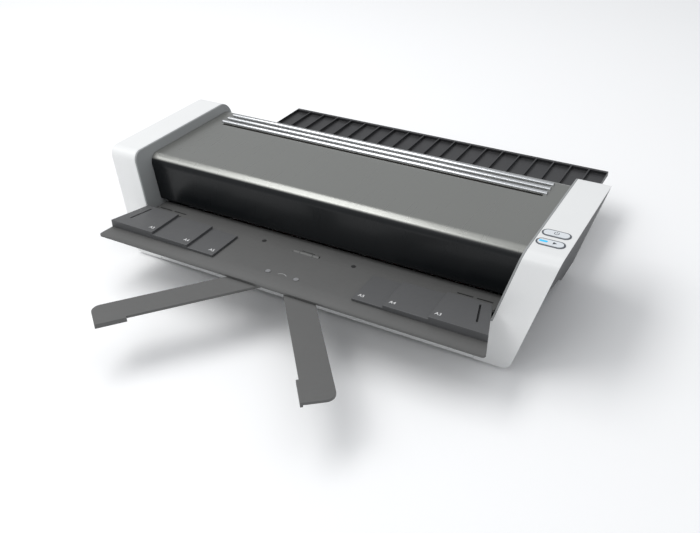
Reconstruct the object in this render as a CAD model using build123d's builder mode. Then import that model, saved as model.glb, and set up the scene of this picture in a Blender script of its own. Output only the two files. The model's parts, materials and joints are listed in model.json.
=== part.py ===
"""Pouch laminator for sheets up to A3, a free-standing desk machine.

A pouch is laid on the entry tray, passes between two heated silicone rollers and two exit
rollers, and leaves onto the ribbed tray behind.  The body is a flat box between two end caps
whose sides lean inwards towards the desk.  The entry tray folds up between the caps and
carries two swing-out arms.  One motor on the left turns all four rollers through gears.

Sizes are in millimetres.  +X is to the user's right, +Y points away from the user and +Z is
up.  The origin is on the desk, under the middle of the machine with its arms swung out.
"""

import math
import os

from build123d import *

os.makedirs("parts", exist_ok=True)

# --------------------------------------------------------------------------- driving sizes

# Body
overall_width = 490.0  # across the end caps at their top
overall_height = 114.0
body_depth = 180.0
side_lean = 15.0  # degrees that both faces of an end cap lean from the vertical
front_y = -80.4  # foot of the front face of the end caps and apron
front_lean = 7.8  # degrees that this face leans back from the vertical
cap_width = 34.0
cap_nose_radius = 12.0
cap_tail_radius = 13.0
cap_foot_radius = 9.0
cap_foot_z = 2.0  # lower edge of the cap and apron in front
cap_heel_z = 15.0  # lower edge of the cap behind
shell_wall = 2.5
liner_wall = 2.0
seam_gap = 0.2  # between neighbouring casing pieces

# Top cover
cover_step = 9.0  # how far the cover lies below the top of the caps
cover_toe_setback = 29.0  # from the caps' front to the cover's lower front edge
cover_brow_setback = 34.5  # from the caps' front to the cover's upper front edge
cover_toe_z = 59.0
cover_brow_radius = 12.0
cover_tail_radius = 10.0
cover_tail_z = 72.0
strip_count = 3
strip_pitch = 10.0
strip_width = 5.2
strip_height = 2.4
strip_length = 384.0
first_strip_setback = 144.0
vent_slot_width = 4.2

# Pouch path
max_sheet_width = 303.0  # an A3 pouch
guide_gap = 5.0  # clear length on each side of an A3 pouch on the rollers
table_top_z = 53.6
plate_wall = 2.2

# Entry tray
hinge_setback = 12.0
hinge_z = 51.5
hinge_pin_diameter = 3.0
knuckle_radius = 3.2
tray_floor_z = 54.5
tray_reach = 65.0  # from the hinge axis to the tray's front edge
panel_reach = 53.0  # from the hinge axis to the front of the format panels
tray_side_gap = 0.9
tray_flare_reach = 8.0  # where the tray's sides start to flare, past the caps' front
format_widths = [303.0, 216.0, 154.0]  # A3, A4 and A5 pouches, outermost step first
format_steps = [7.9, 5.2, 2.5]  # panel heights above the tray floor, outermost first

# Support arms
arm_pivot_x = 15.5
arm_pivot_reach = 44.0  # from the hinge axis to the arms' pivots
arm_length = 163.0
arm_width = 27.0
arm_wall = 2.6
arm_drop = 2.5  # from the tray's underside to the arm's top
arm_spread = 39.0  # degrees from straight ahead
arm_root_radius = 13.5
arm_tip_radius = 9.0
arm_tab_length = 28.0
arm_tab_height = 4.5
arm_tab_wall = 2.4
rivet_diameter = 5.0
rivet_head_diameter = 9.0
rivet_head_height = 1.2

# Output tray
output_width = 420.0
output_end_setback = 329.6  # from the caps' front to the tray's far edge
output_floor_z = 46.0
output_rib_top_z = 51.5
output_rib_wall = 1.6
output_end_wall = 4.0
output_bays = 20
tongue_width = 40.0
tongue_length = 14.0
tongue_wall = 2.4
tongue_x = 110.0

# Rollers and gears
roller_radius = 12.0
roller_core_radius = 9.0
journal_radius = 4.0
roller_nip_gap = 0.3
hot_roller_setback = 70.0
exit_roller_setback = 135.0
lower_roller_z = 46.5
running_clearance = 0.05
gear_module = 1.0
roller_teeth = 24
idler_teeth = 41
pinion_teeth = 16
gear_width = 7.0
gear_backlash = 0.22
plate_x = 184.0  # middle of each chassis side plate
chassis_wall = 2.0
bush_radius = 7.0
bush_length = 6.0

# Base
base_half_width = 200.0
base_bottom_z = 3.0
base_wall_top_z = 34.0
base_corner_radius = 8.0
foot_diameter = 16.0
foot_x = 168.0
foot_inset = 20.0

# Controls
button_length = 23.0
button_width = 8.6
rim_width = 1.1
button_setbacks = [58.2, 41.4]  # standby button, start button
button_gap = 0.35
button_proud = 0.9
button_travel = 0.8
lens_length = 7.6
lens_width = 3.2

# --------------------------------------------------------------------------- derived places

lean_slope = math.tan(math.radians(side_lean))
rear_y = front_y + body_depth
cap_outer_x = overall_width / 2
cap_inner_x = cap_outer_x - cap_width
cover_top_z = overall_height - cover_step
roller_length = max_sheet_width + 2 * guide_gap + 17.0
hinge_y = front_y + hinge_setback
tray_front_y = hinge_y - tray_reach
upper_roller_z = lower_roller_z + 2 * roller_radius + roller_nip_gap
hot_y = front_y + hot_roller_setback
exit_y = front_y + exit_roller_setback
idler_y = (hot_y + exit_y) / 2
idler_radius = gear_module * idler_teeth / 2
pinion_radius = gear_module * pinion_teeth / 2
pinion_z = lower_roller_z + idler_radius + pinion_radius + gear_backlash / 2
gear_inner_x = plate_x + bush_length / 2 + 1.0
gear_outer_x = gear_inner_x + gear_width
bracket_x = gear_outer_x + 1.5
nip_z = lower_roller_z + roller_radius + roller_nip_gap / 2
reach_x = overall_width / 2 + 20.0  # past every part of the casing


def face_y(z, inset=0.0):
    """Y at height z of the leaning front face, moved inwards by inset."""
    lean = math.radians(front_lean)
    return front_y + math.tan(lean) * (z - cap_foot_z) + inset / math.cos(lean)


def lean_x(x_top, z):
    """X at height z of the leaning face that is x_top out at the top of the caps."""
    return x_top - lean_slope * (overall_height - z)


def lean_plane(x_top, side=1):
    """The leaning plane that is x_top out at the top of the caps, facing outwards."""
    lean = math.radians(side_lean)
    return Plane(
        origin=(side * x_top, 0, overall_height),
        x_dir=(0, side, 0),
        z_dir=(side * math.cos(lean), 0, -math.sin(lean)),
    )


def save(piece, name):
    """Label a finished piece and write it to its own file."""
    piece.label = name
    export_step(piece, f"parts/{name}.step")


def save_pair(piece, left_name, right_name):
    """Write a right-hand piece and its mirror image on the left."""
    save(piece, right_name)
    save(mirror(piece, about=Plane.YZ), left_name)


def outline(points, radii):
    """A closed outline on the YZ plane from (y, z) points, each corner rounded by its radius."""
    with BuildSketch(Plane.YZ) as shape:
        with BuildLine():
            Polyline(*points, close=True)
        make_face()
        for (y, z), radius in zip(points, radii):
            if radius > 0:
                corner = shape.vertices().sort_by_distance((y, z, 0))[0]
                fillet(corner, radius)
    return shape.sketch


# --------------------------------------------------------------------------- casing outlines


def cap_outline(inset, front_foot_z, rear_foot_z):
    """Side outline of an end cap, shrunk by inset, with its lower corners at the two heights."""
    top = overall_height - inset
    return outline(
        [
            (face_y(front_foot_z, inset), front_foot_z),
            (face_y(top, inset), top),
            (rear_y - inset, top),
            (rear_y - inset, rear_foot_z),
        ],
        [0, cap_nose_radius - inset, cap_tail_radius - inset, 0],
    )


def cover_outline(inset, foot_drop):
    """Side outline of the top cover, shrunk by inset, with its foot lowered by foot_drop."""
    toe_slope = (cover_brow_setback - cover_toe_setback) / (cover_top_z - cover_toe_z)
    toe_y = front_y + cover_toe_setback + inset - toe_slope * foot_drop
    brow_y = front_y + cover_brow_setback + inset
    tail_y = rear_y - 2.0 - inset
    return outline(
        [
            (toe_y, cover_toe_z - foot_drop),
            (brow_y, cover_top_z - inset),
            (tail_y, cover_top_z - inset),
            (tail_y, cover_tail_z - foot_drop),
        ],
        [0, cover_brow_radius - inset, cover_tail_radius - inset, 0],
    )


# The side panel's lower edge rises towards the front and leaves a hand grip under each cap.
arch_knee_y = rear_y - 86.0
arch_knee_z = 47.0
arch_front_z = 78.0
arch_points = [
    (rear_y - 3.0, cap_heel_z),
    (rear_y - 44.0, cap_heel_z + 3.0),
    (arch_knee_y, arch_knee_z),
    (front_y + 3.0, arch_front_z),
]
arch_radii = [0, 30.0, 40.0, 0]


def arch_z(y):
    """Height of the arch at a place between its knee and the front."""
    share = (arch_knee_y - y) / (arch_knee_y - arch_points[-1][0])
    return arch_knee_z + share * (arch_front_z - arch_knee_z)


def arch_region(inset):
    """The part of a side panel above its arched lower edge, clear of the cap by inset."""
    top = overall_height - shell_wall - inset
    points = list(arch_points)
    points[0] = (rear_y - shell_wall - inset, points[0][1])
    points[-1] = (face_y(arch_front_z, shell_wall + inset), arch_front_z)
    corners = [(face_y(top, shell_wall + inset), top), (points[0][0], top)]
    radii = arch_radii + [cap_nose_radius - shell_wall - inset, cap_tail_radius - shell_wall - inset]
    return outline(points + corners, radii)


# --------------------------------------------------------------------------- end caps

liner_depth = cover_brow_setback + 3.5
liner_lower_z = 44.0
liner_top_width = 14.0


def cap_liner():
    """Grey inner face of the right end cap, from the apron up and over to the back."""
    with BuildPart() as liner:
        extrude(cap_outline(0, liner_lower_z, cover_tail_z), amount=reach_x)
        extrude(
            outline(
                [
                    (front_y + liner_depth, 0),
                    (front_y + liner_depth, overall_height - liner_top_width),
                    (rear_y - liner_top_width, overall_height - liner_top_width),
                    (rear_y - liner_top_width, 0),
                ],
                [0, 4.0, 4.0, 0],
            ),
            amount=reach_x,
            mode=Mode.SUBTRACT,
        )
        split(bisect_by=lean_plane(cap_inner_x + liner_wall), keep=Keep.BOTTOM)
        split(bisect_by=lean_plane(cap_inner_x), keep=Keep.TOP)
    return liner.part


def end_cap():
    """White band of the right end cap, open underneath and towards its side panel."""
    with BuildPart() as cap:
        extrude(cap_outline(0, cap_foot_z, cap_heel_z), amount=reach_x)
        extrude(cap_outline(shell_wall, 0, 0), amount=reach_x, mode=Mode.SUBTRACT)
        with BuildSketch(Plane.XZ) as front:
            with BuildLine():
                Polyline(
                    (lean_x(cap_inner_x, cap_foot_z), cap_foot_z),
                    (lean_x(cap_outer_x, cap_foot_z), cap_foot_z),
                    (cap_outer_x, overall_height),
                    (cap_inner_x, overall_height),
                    close=True,
                )
            make_face()
            foot = front.vertices().sort_by_distance((lean_x(cap_outer_x, cap_foot_z), 0, cap_foot_z))
            fillet(foot[0], cap_foot_radius)
        extrude(amount=2 * body_depth, both=True, mode=Mode.INTERSECT)
        add(cap_liner(), mode=Mode.SUBTRACT)
    return cap.part


cap_middle_x = (cap_inner_x + cap_outer_x) / 2 - 1.0
rim_offset = button_gap + rim_width
board_top_z = overall_height - 8.0
post_radius = 2.5
post_setbacks = [33.0, 68.0]


def button_sites():
    """The places of the two buttons on top of the right cap."""
    return [(cap_middle_x, front_y + setback) for setback in button_setbacks]


def button_openings(cap):
    """The right end cap with its two button openings cut through the top."""
    with BuildPart() as opened:
        add(cap)
        with BuildSketch(Plane.XY.offset(overall_height)):
            with Locations(*button_sites()):
                SlotOverall(button_length + 2 * rim_offset, button_width + 2 * rim_offset)
        extrude(amount=-2 * shell_wall, mode=Mode.SUBTRACT)
        with BuildSketch(Plane.XY.offset(board_top_z)):
            with Locations(*[(cap_middle_x, front_y + setback) for setback in post_setbacks]):
                Circle(post_radius)
        extrude(amount=overall_height - 1.0 - board_top_z)
    return opened.part


liner = cap_liner()
save_pair(liner, "left_cap_liner", "right_cap_liner")
plain_cap = end_cap()
save(mirror(plain_cap, about=Plane.YZ), "left_end_cap")
save(button_openings(plain_cap), "right_end_cap")


def above_arch(rise):
    """Everything above the arched lower edge of a side panel, raised by rise."""
    points = [(y, z + rise) for y, z in arch_points]
    before = (rear_y + shell_wall, points[0][1])
    after = (front_y - shell_wall, points[-1][1])
    sky = 2 * overall_height
    corners = [after, (after[0], sky), (before[0], sky), before]
    return outline(points + corners, arch_radii + [0, 0, 0, 0])


panel_outer_x = cap_outer_x - 0.6


def side_panel():
    """Dark outer side of the right cap, with the grip's ceiling turned in under the cap."""
    with BuildPart() as inside:
        extrude(above_arch(shell_wall), amount=reach_x)
        split(bisect_by=lean_plane(panel_outer_x - shell_wall), keep=Keep.BOTTOM)
    with BuildPart() as panel:
        extrude(arch_region(seam_gap), amount=reach_x)
        split(bisect_by=lean_plane(panel_outer_x), keep=Keep.BOTTOM)
        add(inside.part, mode=Mode.SUBTRACT)
        split(bisect_by=lean_plane(cap_inner_x + liner_wall + seam_gap), keep=Keep.TOP)
        split(bisect_by=Plane.YZ.offset(base_half_width + seam_gap), keep=Keep.TOP)
    return panel.part


panel = side_panel()
save_pair(panel, "left_side_panel", "right_side_panel")

# --------------------------------------------------------------------------- top cover

strip_ys = [front_y + first_strip_setback + k * strip_pitch for k in range(strip_count)]
vent_inset = 3.0  # from each end of a strip to the end of its slot

with BuildPart() as main_cover:
    extrude(cover_outline(0, 0), amount=reach_x, both=True)
    extrude(cover_outline(shell_wall, 1.0), amount=reach_x, both=True, mode=Mode.SUBTRACT)
    for side in (-1, 1):
        split(bisect_by=lean_plane(cap_inner_x - seam_gap, side), keep=Keep.BOTTOM)
    with BuildSketch(Plane.XY.offset(cover_top_z)):
        for strip_y in strip_ys:
            with Locations((0, strip_y - (strip_width + vent_slot_width) / 2)):
                Rectangle(strip_length - 2 * vent_inset, vent_slot_width)
    extrude(amount=-2 * shell_wall, mode=Mode.SUBTRACT)
save(main_cover.part, "main_cover")

with BuildPart() as vent_trim_strips:
    for strip_y in strip_ys:
        with BuildSketch(Plane.YZ.offset(-strip_length / 2)):
            with Locations((strip_y, cover_top_z)):
                SlotOverall(strip_width, 2 * strip_height)
            with Locations((strip_y, cover_top_z - strip_height / 2)):
                Rectangle(strip_width, strip_height, mode=Mode.SUBTRACT)
        extrude(amount=strip_length)
save(vent_trim_strips.part, "vent_trim_strips")

# --------------------------------------------------------------------------- base and back

apron_top_z = liner_lower_z
apron_shelf = 8.0
base_front_y = face_y(base_wall_top_z, shell_wall) + 1.0
base_rear_y = rear_y - shell_wall - 2.2
screw_hole_radius = 1.8
screw_head_radius = 3.4
screw_head_height = 1.6
screw_length = 9.0
plate_front_y = hot_y - roller_radius - 10.0
plate_rear_y = exit_y + roller_radius + 12.0
plate_flange = 14.0
screw_x = plate_x - plate_flange / 2 - 1.0
screw_places = [(side * screw_x, y) for side in (-1, 1) for y in (hot_y - 12.0, exit_y + 14.0)]
rear_panel_y = rear_y - 2.0
rear_panel_top_z = 50.0
inlet_x = -140.0
inlet_z = 28.0
inlet_width = 27.0
inlet_height = 19.6
switch_x = -104.0
switch_width = 19.4
switch_height = 13.0
fit_gap = 0.1  # around pieces that clip into a panel

with BuildPart() as front_apron:
    with BuildSketch(Plane.YZ):
        with BuildLine():
            Polyline(
                (face_y(cap_foot_z), cap_foot_z),
                (face_y(apron_top_z), apron_top_z),
                (face_y(apron_top_z) + apron_shelf, apron_top_z),
                (face_y(apron_top_z) + apron_shelf, apron_top_z - shell_wall),
                (face_y(apron_top_z - shell_wall, shell_wall), apron_top_z - shell_wall),
                (face_y(cap_foot_z, shell_wall), cap_foot_z),
                close=True,
            )
        make_face()
    extrude(amount=reach_x, both=True)
    for side in (-1, 1):
        split(bisect_by=lean_plane(cap_inner_x - seam_gap, side), keep=Keep.BOTTOM)
    top_edge = front_apron.edges().filter_by(Axis.X).group_by(Axis.Z)[-1].sort_by(Axis.Y)[0]
    fillet(top_edge, shell_wall - 0.7)
save(front_apron.part, "front_apron")

base_length = base_rear_y - base_front_y
base_middle_y = (base_front_y + base_rear_y) / 2
liner_clear_y = front_y + liner_depth + 1.0


def rear_openings():
    """Blocks that cut the openings for the power inlet and its switch through the back."""
    with BuildPart() as openings:
        with BuildSketch(Plane.XZ.offset(-rear_y)):
            with Locations((inlet_x, inlet_z)):
                Rectangle(inlet_width + 2 * fit_gap, inlet_height + 2 * fit_gap)
            with Locations((switch_x, inlet_z)):
                Rectangle(switch_width + 2 * fit_gap, switch_height + 2 * fit_gap)
        extrude(amount=4 * shell_wall + 2.0)
    return openings.part


with BuildPart() as base_pan:
    with BuildSketch(Plane.XY.offset(base_bottom_z)):
        with Locations((0, base_middle_y)):
            RectangleRounded(2 * base_half_width, base_length, base_corner_radius)
    extrude(amount=base_wall_top_z - base_bottom_z)
    for side in (-1, 1):
        with BuildSketch(Plane.YZ.offset(side * base_half_width)):
            with BuildLine():
                Polyline(
                    (base_front_y + base_corner_radius + 1.0, base_wall_top_z),
                    (base_front_y + base_corner_radius + 1.0, liner_lower_z - 1.0),
                    (liner_clear_y, liner_lower_z - 1.0),
                    (liner_clear_y, arch_z(liner_clear_y) + 2.0),
                    (arch_knee_y, arch_knee_z + 2.0),
                    (arch_knee_y + 26.0, base_wall_top_z),
                    close=True,
                )
            make_face()
        extrude(amount=-side * shell_wall)
    with BuildSketch(Plane.XY.offset(base_bottom_z + shell_wall)):
        with Locations((0, base_middle_y)):
            RectangleRounded(
                2 * base_half_width - 2 * shell_wall,
                base_length - 2 * shell_wall,
                base_corner_radius - shell_wall,
            )
    extrude(amount=base_wall_top_z, mode=Mode.SUBTRACT)
    with BuildSketch(Plane.XY):
        with Locations(*screw_places):
            Circle(screw_hole_radius)
    extrude(amount=base_bottom_z + 2 * shell_wall, mode=Mode.SUBTRACT)
    add(rear_openings(), mode=Mode.SUBTRACT)
save(base_pan.part, "base_pan")

tongue_z = output_floor_z + tongue_wall / 2

with BuildPart() as rear_panel:
    with BuildSketch(Plane.XZ.offset(-rear_panel_y)):
        with Locations((0, cap_heel_z)):
            Rectangle(2 * reach_x, rear_panel_top_z - cap_heel_z, align=(Align.CENTER, Align.MIN))
    extrude(amount=shell_wall)
    for side in (-1, 1):
        split(bisect_by=lean_plane(cap_inner_x - seam_gap, side), keep=Keep.BOTTOM)
    add(rear_openings(), mode=Mode.SUBTRACT)
    with BuildSketch(Plane.XZ.offset(-rear_y)):
        with Locations((-tongue_x, tongue_z), (tongue_x, tongue_z)):
            Rectangle(tongue_width + 2 * 0.4, tongue_wall + 2 * 0.3)
    extrude(amount=2 * shell_wall, mode=Mode.SUBTRACT)
save(rear_panel.part, "rear_panel")

with BuildPart() as rubber_feet:
    with BuildSketch(Plane.XY):
        with Locations(
            *[(s * foot_x, y) for s in (-1, 1) for y in (front_y + foot_inset, rear_y - foot_inset)]
        ):
            Circle(foot_diameter / 2)
    extrude(amount=base_bottom_z)
    fillet(rubber_feet.edges().group_by(Axis.Z)[0], 0.8)
save(rubber_feet.part, "rubber_feet")

with BuildPart() as base_screws:
    with BuildSketch(Plane.XY.offset(base_bottom_z - screw_head_height)):
        with Locations(*screw_places):
            Circle(screw_head_radius)
    extrude(amount=screw_head_height)
    with BuildSketch(Plane.XY.offset(base_bottom_z)):
        with Locations(*screw_places):
            Circle(screw_hole_radius - 0.15)
    extrude(amount=screw_length)
    with BuildSketch(Plane.XY.offset(base_bottom_z - screw_head_height)):
        with Locations(*screw_places):
            Rectangle(screw_head_radius + 0.4, 0.8)
            Rectangle(0.8, screw_head_radius + 0.4)
    extrude(amount=screw_head_height / 2, mode=Mode.SUBTRACT)
save(base_screws.part, "base_screws")

# --------------------------------------------------------------------------- power inlet, switch

inlet_depth = 20.0
inlet_rim = 1.5
inlet_rim_wall = 1.6
socket_width = 24.0
socket_height = 16.0
socket_depth = 17.0
pin_width = 2.0
pin_height = 4.0
pin_length = 13.0
pin_places = [(inlet_x - 7.0, inlet_z - 2.0), (inlet_x, inlet_z + 2.0), (inlet_x + 7.0, inlet_z - 2.0)]


def rear_block(x, width, height, start, depth):
    """A block on the back at x that starts that far out of the rear panel and goes inwards."""
    with BuildPart() as block:
        with BuildSketch(Plane.XZ.offset(-rear_panel_y - start)):
            with Locations((x, inlet_z)):
                Rectangle(width, height)
        extrude(amount=depth)
    return block.part


with BuildPart() as power_inlet:
    add(rear_block(inlet_x, inlet_width, inlet_height, 0, inlet_depth))
    rim_size = (inlet_width + 2 * inlet_rim, inlet_height + 2 * inlet_rim)
    add(rear_block(inlet_x, *rim_size, inlet_rim_wall, inlet_rim_wall))
    cavity = rear_block(inlet_x, socket_width, socket_height, inlet_rim_wall, socket_depth)
    add(cavity, mode=Mode.SUBTRACT)
    with BuildSketch(Plane.XZ.offset(-rear_panel_y - inlet_rim_wall + socket_depth)):
        with Locations(*pin_places):
            Rectangle(pin_width, pin_height)
    extrude(amount=-pin_length)
save(power_inlet.part, "power_inlet")

switch_depth = 16.0
switch_rim = 1.2
switch_rim_wall = 1.2
rocker_well_depth = 14.0
rocker_lean = 9.0  # degrees that the rocker leans in its off position
rocker_pivot_y = rear_panel_y - 2.0
rocker_pin_radius = 1.2
well_height = switch_height - 2.4
rocker_pin_reach = well_height / 2 + 0.6
rocker_reach = switch_width / 2 - 2.2
rocker_height = switch_height - 3.4
rocker_proud = 1.6

with BuildPart() as switch_housing:
    add(rear_block(switch_x, switch_width, switch_height, 0, switch_depth))
    rim_size = (switch_width + 2 * switch_rim, switch_height + 2 * switch_rim)
    add(rear_block(switch_x, *rim_size, switch_rim_wall, switch_rim_wall))
    well = rear_block(switch_x, switch_width - 3.0, well_height, switch_rim_wall, rocker_well_depth)
    add(well, mode=Mode.SUBTRACT)
    with BuildSketch(Plane.XY.offset(inlet_z)):
        with Locations((switch_x, rocker_pivot_y)):
            Circle(rocker_pin_radius + running_clearance)
    extrude(amount=rocker_pin_reach + 0.1, both=True, mode=Mode.SUBTRACT)
save(switch_housing.part, "switch_housing")

with BuildPart() as power_rocker:
    with BuildSketch(Plane.XY.offset(inlet_z - rocker_height / 2)):
        with BuildLine():
            left_end = (switch_x - rocker_reach, rear_panel_y + rocker_proud)
            right_end = (switch_x + rocker_reach, rear_panel_y + rocker_proud)
            ThreePointArc(left_end, (switch_x, rear_panel_y + 0.2), right_end)
            Polyline(
                right_end,
                (right_end[0] - 1.4, rear_panel_y - 3.0),
                (switch_x, rear_panel_y - 7.0),
                (left_end[0] + 1.4, rear_panel_y - 3.0),
                left_end,
            )
        make_face()
    extrude(amount=rocker_height)
    with BuildSketch(Plane.XY.offset(inlet_z)):
        with Locations((switch_x, rocker_pivot_y)):
            Circle(rocker_pin_radius)
    extrude(amount=rocker_pin_reach, both=True)
rocker_axis = Axis((switch_x, rocker_pivot_y, 0), (0, 0, 1))
save(power_rocker.part.rotate(rocker_axis, rocker_lean), "power_rocker")

# --------------------------------------------------------------------------- entry table and guides

knuckle_length = 14.0
knuckle_gap = 0.3
hinge_xs = [-172.0, 0.0, 172.0]
hinge_seam = 1.2
tray_back_reach = 3.4
table_front_y = hinge_y - tray_back_reach + hinge_seam
table_rear_y = front_y + 34.0
table_half = lean_x(cap_inner_x, table_top_z) - 1.0
guide_half = plate_x - chassis_wall / 2


def knuckle(x_from, x_to, side):
    """One hinge knuckle from x_from to x_to with its arm towards side (+1 back, -1 front)."""
    with BuildPart() as barrel:
        with BuildSketch(Plane.YZ.offset(x_from)):
            with Locations((hinge_y, hinge_z)):
                Circle(knuckle_radius)
            with Locations((hinge_y, table_top_z)):
                align_y = Align.MIN if side > 0 else Align.MAX
                Rectangle(5.4, plate_wall, align=(align_y, Align.MAX))
        extrude(amount=x_to - x_from)
    return barrel.part


def knuckle_notches(width, gap):
    """Blocks that cut one notch at each hinge for the other plate's knuckles."""
    with BuildPart() as notches:
        with BuildSketch(Plane.XY.offset(hinge_z - knuckle_radius)):
            with Locations(*[(hinge_x, hinge_y) for hinge_x in hinge_xs]):
                Rectangle(width, 2 * (knuckle_radius + 2 * knuckle_gap))
                if gap > 0:
                    Rectangle(gap, 2 * overall_height, mode=Mode.SUBTRACT)
        extrude(amount=4 * knuckle_radius)
    return notches.part


with BuildPart() as entry_table:
    with BuildSketch(Plane.XY.offset(table_top_z)):
        with Locations((0, table_front_y)):
            Rectangle(2 * table_half, table_rear_y - table_front_y, align=(Align.CENTER, Align.MIN))
    extrude(amount=-plate_wall)
    add(knuckle_notches(knuckle_length + 2 * knuckle_gap, 0), mode=Mode.SUBTRACT)
    for hinge_x in hinge_xs:
        inner = knuckle_length / 2 + knuckle_gap
        add(knuckle(hinge_x - inner - knuckle_length / 2, hinge_x - inner, 1))
        add(knuckle(hinge_x + inner, hinge_x + inner + knuckle_length / 2, 1))
    for hinge_x in hinge_xs:
        with BuildSketch(Plane.YZ.offset(hinge_x - knuckle_length)):
            with Locations((hinge_y, hinge_z)):
                Circle(hinge_pin_diameter / 2)
        extrude(amount=2 * knuckle_length, mode=Mode.SUBTRACT)
save(entry_table.part, "entry_table")

with BuildPart() as tray_hinge_pins:
    for hinge_x in hinge_xs:
        with BuildSketch(Plane.YZ.offset(hinge_x - knuckle_length)):
            with Locations((hinge_y, hinge_z)):
                Circle(hinge_pin_diameter / 2)
        extrude(amount=2 * knuckle_length)
save(tray_hinge_pins.part, "tray_hinge_pins")

guide_wall = 1.5


def guide_plate(start, end):
    """A flat guide between the chassis plates whose top runs from start to end (y, z)."""
    with BuildPart() as guide:
        with BuildSketch(Plane.YZ):
            with BuildLine():
                Polyline(
                    start,
                    end,
                    (end[0], end[1] - guide_wall),
                    (start[0], start[1] - guide_wall),
                    close=True,
                )
            make_face()
        extrude(amount=guide_half, both=True)
    return guide.part


# Each guide's upper edge, from front to back: two at the entry, two between the rollers and
# one behind them.
guide_lines = [
    ((plate_front_y + 0.5, table_top_z + 2.3), (hot_y - 12.5, nip_z - 1.4)),
    ((table_rear_y + 3.0, 68.0), (hot_y - 12.5, nip_z + 4.0)),
    ((hot_y + 13.5, nip_z - 1.4), (exit_y - 13.5, nip_z - 1.4)),
    ((hot_y + 13.5, nip_z + 3.6), (exit_y - 13.5, nip_z + 3.6)),
    ((exit_y + 12.5, nip_z - 1.4), (rear_panel_y - shell_wall - 0.5, rear_panel_top_z + 1.6)),
]

with BuildPart() as sheet_guides:
    for start, end in guide_lines:
        add(guide_plate(start, end))
save(sheet_guides.part, "sheet_guides")

# --------------------------------------------------------------------------- entry tray

tray_half_at_hinge = lean_x(cap_inner_x, hinge_z) - tray_side_gap
lip_drop = 2.0
lip_width = 3.0
tray_corner_radius = 3.0


def tray_half(reach):
    """Half-width of the tray at a distance from the hinge: it clears the caps open or shut."""
    flare = max(reach - tray_flare_reach, 0) / (tray_reach - tray_flare_reach)
    return tray_half_at_hinge + lean_slope * tray_reach * flare


def tray_plan(from_reach, to_reach, side):
    """Corners of one side edge of the tray's plan between two distances from the hinge."""
    reaches = (from_reach, tray_flare_reach, to_reach)
    return [(side * tray_half(reach), hinge_y - reach) for reach in reaches]


lip_reach = panel_reach - 4.0
arm_pivot_y = hinge_y - arm_pivot_reach
arm_top_z = tray_floor_z - plate_wall - arm_drop
arm_pivots = [(side * arm_pivot_x, arm_pivot_y) for side in (-1, 1)]
boss_radius = 6.5
boss_gap = 0.15

with BuildPart() as entry_tray:
    with BuildSketch(Plane.YZ):
        with BuildLine():
            Polyline(
                (hinge_y - tray_back_reach, tray_floor_z),
                (hinge_y - lip_reach, tray_floor_z),
                (tray_front_y + lip_width, tray_floor_z - lip_drop),
                (tray_front_y, tray_floor_z - lip_drop),
                (tray_front_y, tray_floor_z - lip_drop - plate_wall),
                (tray_front_y + lip_width, tray_floor_z - lip_drop - plate_wall),
                (hinge_y - lip_reach, tray_floor_z - plate_wall),
                (hinge_y - tray_back_reach, tray_floor_z - plate_wall),
                close=True,
            )
        make_face()
    extrude(amount=reach_x, both=True)
    with BuildSketch(Plane.XY):
        with BuildLine():
            right_edge = tray_plan(tray_back_reach, tray_reach, 1)
            left_edge = tray_plan(tray_back_reach, tray_reach, -1)
            Polyline(*right_edge, *reversed(left_edge), close=True)
        plan = make_face()
        fillet(plan.vertices(), tray_corner_radius)
    extrude(amount=overall_height, mode=Mode.INTERSECT)
    with BuildSketch(Plane.XY.offset(tray_floor_z - plate_wall)):
        with Locations(*arm_pivots):
            Circle(boss_radius)
    extrude(amount=-(arm_drop - boss_gap))
    notch_width = 2 * (knuckle_length + 2 * knuckle_gap)
    add(knuckle_notches(notch_width, knuckle_length), mode=Mode.SUBTRACT)
    for hinge_x in hinge_xs:
        add(knuckle(hinge_x - knuckle_length / 2, hinge_x + knuckle_length / 2, -1))
    for hinge_x in hinge_xs:
        with BuildSketch(Plane.YZ.offset(hinge_x - knuckle_length)):
            with Locations((hinge_y, hinge_z)):
                Circle(hinge_pin_diameter / 2 + running_clearance)
        extrude(amount=2 * knuckle_length, mode=Mode.SUBTRACT)
    with BuildSketch(Plane.XY.offset(arm_top_z)):
        with Locations(*arm_pivots):
            Circle(rivet_diameter / 2)
    extrude(amount=2 * (plate_wall + arm_drop), mode=Mode.SUBTRACT)
save(entry_tray.part, "entry_tray")

panel_back_reach = 7.0
slit_length = 26.0
slit_width = 1.6
slit_depth = 4.0
slit_inset = 12.0  # from the panel's outer edge at its middle


def format_panel():
    """Stepped right-hand panel whose step edges line up with the sides of each pouch size."""
    with BuildPart() as stepped:
        for width, height in zip(format_widths, format_steps):
            with BuildSketch(Plane.XY.offset(tray_floor_z)):
                with BuildLine():
                    Polyline(
                        (width / 2, hinge_y - panel_back_reach),
                        *tray_plan(panel_back_reach, lip_reach, 1),
                        (width / 2, hinge_y - lip_reach),
                        close=True,
                    )
                make_face()
            extrude(amount=height)
        middle = (panel_back_reach + lip_reach) / 2
        with BuildSketch(Plane.XY.offset(tray_floor_z + format_steps[0])):
            with Locations((tray_half(middle) - slit_inset, hinge_y - middle + 4.0)):
                Rectangle(slit_width, slit_length, rotation=side_lean)
        extrude(amount=-slit_depth, mode=Mode.SUBTRACT)
    return stepped.part


save_pair(format_panel(), "left_format_panel", "right_format_panel")

# --------------------------------------------------------------------------- support arms


arm_tab_place = (-(arm_width + arm_tab_wall) / 2, -arm_length + arm_tab_length / 2)


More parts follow.
